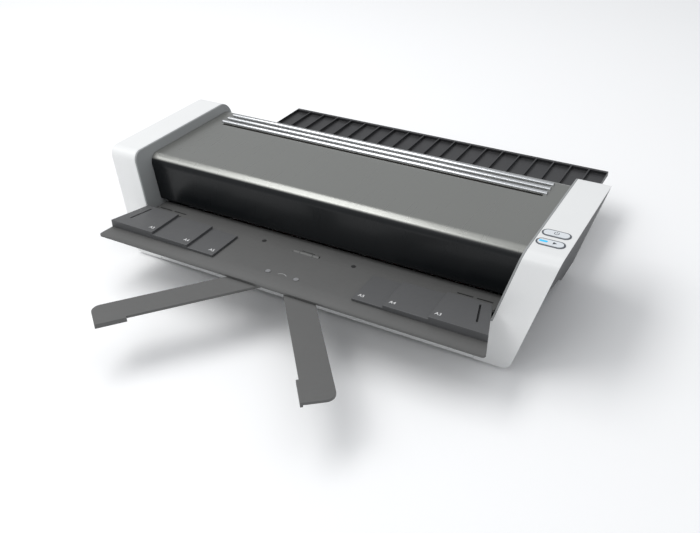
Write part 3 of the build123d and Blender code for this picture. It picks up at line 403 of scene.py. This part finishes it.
FINISHES: dict[str, Finish] = {
    "casing_white": Finish(
        "satin_white_shell", (0.80, 0.805, 0.80), 0.36, coat=0.25, depth=0.004, dust=0.02
    ),
    # painted shade: this mid grey on the caps' inner walls stands in for the shade that falls on
    # them
    "liner_grey": Finish("liner_grey_shell", (0.30, 0.31, 0.31), 0.5, depth=0.01),
    "cover_grey": CoverLacquer(
        "cover_pearl_lacquer", (0.27, 0.273, 0.258), 0.30, metallic=0.8, coat=0.15,
        coat_roughness=0.14, specular=0.25, texture=Texture.BRUSHED, scale=1300.0, depth=0.006,
    ),
    "side_dark": Finish("side_dark_shell", (0.036, 0.037, 0.041), 0.55, depth=0.03, dust=0.04),
    "tray_grey": Finish("tray_dark_grey", (0.090, 0.090, 0.088), 0.50, depth=0.02, dust=0.05),
    "panel_grey": Finish("format_panel_grey", (0.077, 0.078, 0.080), 0.48, depth=0.03, dust=0.04),
    "arm_grey": Finish("arm_dark_grey", (0.095, 0.095, 0.093), 0.48, depth=0.02, dust=0.05),
    "output_black": Finish("output_tray_black", (0.022, 0.022, 0.024), 0.42, depth=0.03, dust=0.05),
    "trim_chrome": Finish(
        "bright_trim", (0.50, 0.51, 0.52), 0.16, metallic=1.0, depth=0.002, drift=0.02
    ),
    "rim_grey": Finish("button_rim_grey", (0.12, 0.13, 0.15), 0.3, metallic=0.3, depth=0.003),
    "button_white": Finish("button_white", (0.72, 0.75, 0.78), 0.28, coat=0.4, depth=0.002),
    "light_lens": Finish(
        "blue_light_lens", (0.02, 0.36, 0.60), 0.25, coat=0.6, depth=0.001, glow=0.7
    ),
    "board": Finish("board_green", (0.01, 0.12, 0.05), 0.35, coat=0.3, depth=0.01),
    "component_black": Finish("component_black", (0.02, 0.02, 0.02), 0.4, depth=0.01),
    "rubber": Finish("foot_rubber", (0.020, 0.020, 0.020), 0.85, depth=0.05, dust=0.1),
    "screw_steel": Finish("screw_steel", (0.42, 0.42, 0.43), 0.32, metallic=1.0, depth=0.006),
    "steel": Finish(
        "ground_steel", (0.55, 0.55, 0.56), 0.28, metallic=1.0, texture=Texture.BRUSHED
    ),
    "inlet_black": Finish("inlet_black", (0.012, 0.012, 0.012), 0.38, depth=0.01),
    "zinc_plate": Finish(
        "zinc_plate", (0.50, 0.52, 0.54), 0.36, metallic=1.0, scale=300.0, drift=0.2
    ),
    "guide_black": Finish("guide_black", (0.020, 0.020, 0.021), 0.5, depth=0.01),
    "motor_steel": Finish("motor_can", (0.46, 0.46, 0.47), 0.3, metallic=1.0, depth=0.004),
    "nylon": Finish("natural_nylon", (0.72, 0.71, 0.64), 0.45, depth=0.01),
    "bush_polymer": Finish("bush_polymer", (0.18, 0.09, 0.05), 0.5, depth=0.01),
    "shoe_aluminium": Finish(
        "shoe_aluminium", (0.70, 0.70, 0.71), 0.35, metallic=1.0, texture=Texture.BRUSHED
    ),
    "element_ceramic": Finish("heating_strip", (0.70, 0.68, 0.60), 0.6, depth=0.02),
    "silicone": Finish("roller_silicone", (0.30, 0.055, 0.035), 0.55, depth=0.01),
    "print_white": Finish("white_print", (0.80, 0.80, 0.80), 0.6, depth=0.002),
    "print_grey": Finish("grey_print", (0.07, 0.08, 0.09), 0.6, depth=0.002),
    "print_pale": Finish("pale_print", (0.34, 0.34, 0.34), 0.6, depth=0.002),
    "label_silver": Finish("silver_label", (0.62, 0.63, 0.64), 0.35, metallic=0.5, depth=0.002),
    # painted shade: near black for flat patches that stand for the shade inside openings
    "recess_black": Finish("recess_black", (0.006, 0.006, 0.006), 0.7, depth=0.002),
}
MATERIALS = {slot: finish.build() for slot, finish in FINISHES.items()}


def dress(piece: bpy.types.Object, slot: str) -> None:
    """Give a piece one finish in place of any it has."""
    piece.data.materials.clear()
    piece.data.materials.append(MATERIALS[slot])


def hand_over(piece: bpy.types.Object, body: str, slot: str, finish: str = "") -> None:
    """Finish a new piece: settle it, dress it and hang it on its body.

    Args:
        piece: the modelled object.
        body: the CAD body that it rides on.
        slot: the record's material slot.
        finish: the finish, where it isn't the slot's own.
    """
    settle(piece)
    dress(piece, finish or slot)
    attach(piece, body)
    log.info("piece %s on %s: %d faces", piece.name, body, len(piece.data.polygons))


# ----------------------------------------------------------------------------- carried-over shells


@dataclass
class SoftenedShell:
    """A CAD node carried over with its sharp edges rounded as a moulding's are.

    The width is the rounding's; an edge is sharp above the limit; vertices nearer than the merge
    distance are one, and faces that turn by less than the flat angle are one plane.
    """

    node: str
    width: float
    segments: int = 2
    limit: float = 38.0
    merge: float = 2e-6
    flat: float = 0.6

    def build(self) -> bpy.types.Object:
        """Copy the node, merge its triangles, round its edges and replace it.

        Returns:
            The softened copy.
        """
        source = frame["nodes"][self.node]
        take(source)
        bpy.ops.object.duplicate()
        piece = bpy.context.object
        piece.name = f"{self.node}_moulding"
        bpy.ops.object.parent_clear(type="CLEAR_KEEP_TRANSFORM")
        settle(piece)
        bpy.ops.object.mode_set(mode="EDIT")
        bpy.ops.mesh.select_all(action="SELECT")
        bpy.ops.mesh.remove_doubles(threshold=self.merge)
        bpy.ops.mesh.dissolve_limited(angle_limit=math.radians(self.flat))
        bpy.ops.object.mode_set(mode="OBJECT")
        apply_modifier(
            piece, "BEVEL", width=self.width, segments=self.segments, limit_method="ANGLE",
            angle_limit=math.radians(self.limit), harden_normals=False, use_clamp_overlap=True,
        )
        smooth(piece)
        apply_modifier(piece, "WEIGHTED_NORMAL", keep_sharp=True)
        hand_over(piece, body_name(self.node), slot_of(self.node))
        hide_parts(self.node)
        return piece


@dataclass
class Casing:
    """The outer shells, with edge radii by piece."""

    radii: dict[str, float] = field(
        default_factory=lambda: {
            "left_end_cap": 0.0008,
            "right_end_cap": 0.0008,
            "left_cap_liner": 0.0006,
            "right_cap_liner": 0.0006,
            "left_side_panel": 0.0006,
            "right_side_panel": 0.0006,
            "main_cover": 0.0005,
            "front_apron": 0.0005,
            "entry_table": 0.0003,
            "entry_tray": 0.0004,
            "left_format_panel": 0.0004,
            "right_format_panel": 0.0004,
            "left_support_arm": 0.0005,
            "right_support_arm": 0.0005,
            "output_tray": 0.0004,
            "rear_panel": 0.0004,
            "base_pan": 0.0006,
        }
    )

    def build(self) -> None:
        """Carry over every shell."""
        for node, width in self.radii.items():
            SoftenedShell(node, width).build()


# ----------------------------------------------------------------------------- print and marks


@dataclass
class Print:
    """A thin printed mark made from generic letters or a drawn symbol."""

    thickness: float = 0.00006
    ring_steps: int = 28

    def letters(self, name: str, text: str, size: float, place: Point) -> bpy.types.Object:
        """A paper size, laid flat.

        Args:
            name: the piece's name.
            text: the letters, a standard paper size.
            size: height of the type.
            place: middle of the mark.

        Returns:
            The mark as a mesh.
        """
        deselect_all()
        bpy.ops.object.text_add(location=place)
        mark = bpy.context.object
        mark.name = name
        mark.data.body = text
        mark.data.size = size
        mark.data.align_x = "CENTER"
        mark.data.align_y = "CENTER"
        mark.data.extrude = self.thickness / 2
        bpy.ops.object.convert(target="MESH")
        return bpy.context.object

    def ring(
        self, name: str, radius: float, stroke: float, place: Point, opening: float
    ) -> bpy.types.Object:
        """An open ring, broken at its top for a stand-by bar.

        Args:
            name: the piece's name.
            radius: middle radius of the stroke.
            stroke: width of the stroke.
            place: centre of the ring.
            opening: half-angle of the break in degrees.

        Returns:
            The ring as a mesh.
        """
        deselect_all()
        bpy.ops.mesh.primitive_plane_add(size=stroke, location=place)
        piece = bpy.context.object
        piece.name = name
        bpy.ops.object.mode_set(mode="EDIT")
        bpy.ops.mesh.select_all(action="SELECT")
        bpy.ops.mesh.delete(type="ONLY_FACE")
        bpy.ops.mesh.select_all(action="DESELECT")
        bpy.ops.object.mode_set(mode="OBJECT")
        for vertex in piece.data.vertices:
            vertex.co.x = 0.0
            vertex.co.y = (radius + stroke / 2) if vertex.co.y > 0 else (radius - stroke / 2)
            vertex.co.rotate(Matrix.Rotation(math.radians(opening), 3, "Z"))
        bpy.ops.object.mode_set(mode="EDIT")
        bpy.ops.mesh.select_all(action="SELECT")
        bpy.ops.mesh.remove_doubles(threshold=1e-7)
        bpy.ops.mesh.spin(
            steps=self.ring_steps, angle=math.radians(360.0 - 2 * opening), center=place,
            axis=(0.0, 0.0, -1.0),
        )
        bpy.ops.object.mode_set(mode="OBJECT")
        apply_modifier(piece, "SOLIDIFY", thickness=self.thickness, offset=1.0)
        return piece


class Side(Enum):
    """Left or right of the machine, as the sign of X."""

    LEFT = -1
    RIGHT = 1


@dataclass
class FormatPrint:
    """Paper-size marks beside each step of the format panels.

    Each size has its step's distance from the middle and its height above the panel's foot.
    """

    print: Print
    sizes: tuple[tuple[str, float, float], ...] = (
        ("A5", 0.0770, 0.0025),
        ("A4", 0.1080, 0.0052),
        ("A3", 0.1515, 0.0079),
    )
    type_size: float = 0.0052
    inset: float = 0.0062
    from_front: float = 0.0075

    def build(self) -> None:
        """Print all six marks."""
        for side in Side:
            node = f"{side.name.lower()}_format_panel"
            low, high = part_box(node)
            for text, edge, height in self.sizes:
                place = (
                    side.value * (edge + self.inset),
                    low[1] + self.from_front,
                    low[2] + height + self.print.thickness,
                )
                name = f"size_mark_{side.name.lower()}_{text}"
                mark = self.print.letters(name, text, self.type_size, place)
                hand_over(mark, body_name(node), slot_of(node), "print_white")


@dataclass
class ButtonSymbols:
    """The stand-by ring and bar, and the start triangle, printed on the two buttons."""

    print: Print
    radius: float = 0.0020
    stroke: float = 0.0006
    lift: float = 0.00002
    opening: float = 32.0
    bar_reach: float = 4.0
    triangle_offset: float = 0.0032
    triangle_rounding: float = 0.0003

    def top(self, node: str) -> Vector:
        """Middle of a button's top face."""
        low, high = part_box(node)
        return Vector(((low[0] + high[0]) / 2, (low[1] + high[1]) / 2, high[2] + self.lift))

    def build(self) -> None:
        """Print both symbols."""
        self.standby()
        self.start()

    def standby(self) -> None:
        """The open ring with its bar."""
        centre = self.top("standby_button")
        ring = self.print.ring(
            "standby_ring", self.radius, self.stroke, tuple(centre), self.opening
        )
        hand_over(ring, body_name("standby_button"), slot_of("standby_button"), "print_grey")
        deselect_all()
        bar_place = centre + Vector((0.0, self.radius * 0.75, 0.0))
        bpy.ops.mesh.primitive_plane_add(size=self.stroke, location=bar_place)
        bar = bpy.context.object
        bar.name = "standby_bar"
        bpy.ops.transform.resize(value=(1.0, self.bar_reach, 1.0))
        settle(bar)
        apply_modifier(bar, "SOLIDIFY", thickness=self.print.thickness, offset=1.0)
        hand_over(bar, body_name("standby_button"), slot_of("standby_button"), "print_grey")

    def start(self) -> None:
        """The triangle, beside the blue light."""
        deselect_all()
        place = self.top("start_button") + Vector((self.triangle_offset, 0.0, 0.0))
        bpy.ops.mesh.primitive_circle_add(
            vertices=3, radius=self.radius * 1.15, fill_type="NGON", location=place,
            rotation=(0.0, 0.0, math.radians(-90.0)),
        )
        triangle = bpy.context.object
        triangle.name = "start_triangle"
        settle(triangle)
        apply_modifier(
            triangle, "BEVEL", affect="VERTICES", width=self.triangle_rounding, segments=3
        )
        apply_modifier(triangle, "SOLIDIFY", thickness=self.print.thickness, offset=1.0)
        hand_over(triangle, body_name("start_button"), slot_of("start_button"), "print_grey")


@dataclass
class SurfaceMarks:
    """Small flat marks on the entry tray, the shelf behind it and the back."""

    print: Print
    dot_radius: float = 0.0024
    dot_place: tuple[float, float] = (0.051, -0.0667)
    arc_radius: float = 0.0060
    arc_stroke: float = 0.0006
    arc_opening: float = 130.0
    arc_y: float = -0.1160
    slit_size: tuple[float, float] = (0.0155, 0.0016)
    slit_middles: tuple[float, ...] = (0.1625, 0.1815)
    slit_y: float = -0.0608
    label_size: tuple[float, float] = (0.052, 0.024)
    label_middle: tuple[float, float] = (0.030, 0.0300)
    bar_lengths: tuple[float, ...] = (0.040, 0.034, 0.040, 0.022)
    bar_height: float = 0.0012

    def patch(self, name: str, middle: Point, size: Point) -> bpy.types.Object:
        """A thin block."""
        deselect_all()
        bpy.ops.mesh.primitive_cube_add(size=1.0, location=middle)
        bpy.ops.transform.resize(value=size)
        bpy.context.object.name = name
        return bpy.context.object

    def shelf_plugs(self) -> None:
        """Two dark plugs in the shelf behind the hinge."""
        for side in Side:
            deselect_all()
            x, y = self.dot_place
            bpy.ops.mesh.primitive_cylinder_add(
                vertices=40, radius=self.dot_radius, depth=2 * self.print.thickness,
                location=(side.value * x, y, SHELF_TOP + self.print.thickness),
            )
            dot = bpy.context.object
            dot.name = f"shelf_plug_{side.name.lower()}"
            hand_over(dot, "body", slot_of("entry_table"), "component_black")

    def arc_mark(self) -> None:
        """A pale swing mark between the arms' pivots."""
        place = (0.0, self.arc_y, TRAY_FLOOR + self.print.thickness / 2)
        arc = self.print.ring(
            "arm_swing_mark", self.arc_radius, self.arc_stroke, place, self.arc_opening
        )
        take(arc)
        bpy.ops.transform.rotate(value=math.pi, orient_axis="Z", center_override=place)
        hand_over(arc, "tray", slot_of("entry_tray"), "print_pale")

    def slit_shade_patches(self) -> None:
        """Painted shade: flat black patches for the openings over the hinges at both ends of the
        shelf.
        """
        for side in Side:
            for count, middle in enumerate(self.slit_middles):
                place = (side.value * middle, self.slit_y, SHELF_TOP + self.print.thickness / 2)
                size = (*self.slit_size, self.print.thickness)
                slit_shade = self.patch(f"shelf_slit_{side.name.lower()}_{count}", place, size)
                hand_over(slit_shade, "body", slot_of("entry_table"), "recess_black")

    def rating_label(self) -> None:
        """A blank silver rating label on the back, with bars in place of its lettering."""
        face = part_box("rear_panel")[1][1]
        x, z = self.label_middle
        wide, high = self.label_size
        thick = 2 * self.print.thickness
        label = self.patch("rating_label", (x, face + thick / 2, z), (wide, thick, high))
        hand_over(label, "body", slot_of("rear_panel"), "label_silver")
        step = high / (len(self.bar_lengths) + 1)
        for count, length in enumerate(self.bar_lengths):
            bar_x = x + (self.bar_lengths[0] - length) / 2
            bar_z = z + high / 2 - step * (count + 1)
            middle = (bar_x, face + 1.2 * thick, bar_z)
            bar = self.patch(f"rating_bar_{count}", middle, (length, thick, self.bar_height))
            hand_over(bar, "body", slot_of("rear_panel"), "print_grey")

    def build(self) -> None:
        """Make every mark."""
        self.shelf_plugs()
        self.arc_mark()
        self.slit_shade_patches()
        self.rating_label()


# ----------------------------------------------------------------------------- studio


@dataclass(frozen=True)
class Softbox:
    """One soft rectangular light: where it is, what it points at, its size and its power."""

    name: str
    place: Point
    aim: Point
    size: tuple[float, float]
    power: float

    def build(self) -> None:
        """Add the light."""
        data = bpy.data.lights.new(self.name, "AREA")
        data.shape = "RECTANGLE"
        data.size, data.size_y = self.size
        data.energy = self.power
        light = bpy.data.objects.new(self.name, data)
        light.location = self.place
        light.rotation_mode = "QUATERNION"
        toward = Vector(self.aim) - Vector(self.place)
        light.rotation_quaternion = toward.to_track_quat("-Z", "Y")
        bpy.context.scene.collection.objects.link(light)


@dataclass
class Studio:
    """Pale floor, soft lights and the camera, with its angles in degrees."""

    eye: Point = (0.3773, -0.6406, 0.4781)
    heading: float = 29.906
    tilt: float = 32.732
    roll: float = -1.084
    lens: float = 42.57
    floor_size: float = 12.0
    floor_drop: float = 0.0002
    floor_tone: float = 0.97
    air_colour: Colour = (0.95, 0.97, 1.0)
    air_strength: float = 0.60
    lights: tuple[Softbox, ...] = (
        Softbox("key_softbox", (-0.90, -0.98, 1.62), (0.0, -0.03, 0.08), (2.4, 0.7), 9.5),
        Softbox("bend_softbox", (-0.80, -0.11, 1.65), (-0.3, -0.05, 0.1), (1.7, 0.6), 12.5),
        Softbox("top_softbox", (0.1, 0.5, 2.4), (0.0, 0.0, 0.0), (2.4, 2.0), 6.0),
    )

    def camera(self) -> None:
        """Set the camera at the machine's front right, looking down and to the left."""
        heading, tilt, roll = (math.radians(a) for a in (self.heading, self.tilt, self.roll))
        level = Vector((math.cos(heading), math.sin(heading), 0.0))
        forward = Vector((-math.sin(heading), math.cos(heading), 0.0))
        ahead = forward * math.cos(tilt) - Vector((0.0, 0.0, math.sin(tilt)))
        rise = level.cross(ahead)
        right = level * math.cos(roll) + rise * math.sin(roll)
        up = rise * math.cos(roll) - level * math.sin(roll)
        data = bpy.data.cameras.new("camera")
        data.lens = self.lens
        data.sensor_width = 36.0
        data.clip_start = 0.01
        data.dof.use_dof = False
        camera = bpy.data.objects.new("camera", data)
        bpy.context.scene.collection.objects.link(camera)
        turn = Matrix((right, up, -ahead)).transposed()
        camera.matrix_world = Matrix.Translation(self.eye) @ turn.to_4x4()
        bpy.context.scene.camera = camera

    def floor(self) -> None:
        """Lay a plain pale floor under the feet."""
        deselect_all()
        bpy.ops.mesh.primitive_plane_add(
            size=self.floor_size, location=(0.0, 0.0, -self.floor_drop)
        )
        floor = bpy.context.object
        floor.name = "floor"
        material = bpy.data.materials.new("floor_pale")
        material.use_nodes = True
        shader = material.node_tree.nodes["Principled BSDF"]
        shader.inputs["Base Color"].default_value = (*[self.floor_tone] * 3, 1.0)
        shader.inputs["Roughness"].default_value = 0.9
        shader.inputs["Specular IOR Level"].default_value = 0.1
        floor.data.materials.append(material)

    def build(self) -> None:
        """Set up the whole studio."""
        world = bpy.data.worlds.new("studio_air")
        world.use_nodes = True
        air = world.node_tree.nodes["Background"]
        air.inputs["Color"].default_value = (*self.air_colour, 1.0)
        air.inputs["Strength"].default_value = self.air_strength
        bpy.context.scene.world = world
        bpy.context.scene.view_settings.view_transform = "Standard"
        for light in self.lights:
            light.build()
        self.floor()
        self.camera()


def dress_frame() -> None:
    """Give every carried-over CAD node the finish of its material slot."""
    for node, obj in frame["nodes"].items():
        dress(obj, slot_of(node))


def main() -> None:
    """Build the machine's surfaces in order."""
    dress_frame()
    Casing().build()
    marks = Print()
    FormatPrint(marks).build()
    ButtonSymbols(marks).build()
    SurfaceMarks(marks).build()
    Studio().build()
    deselect_all()


if __name__ == "__main__":
    main()
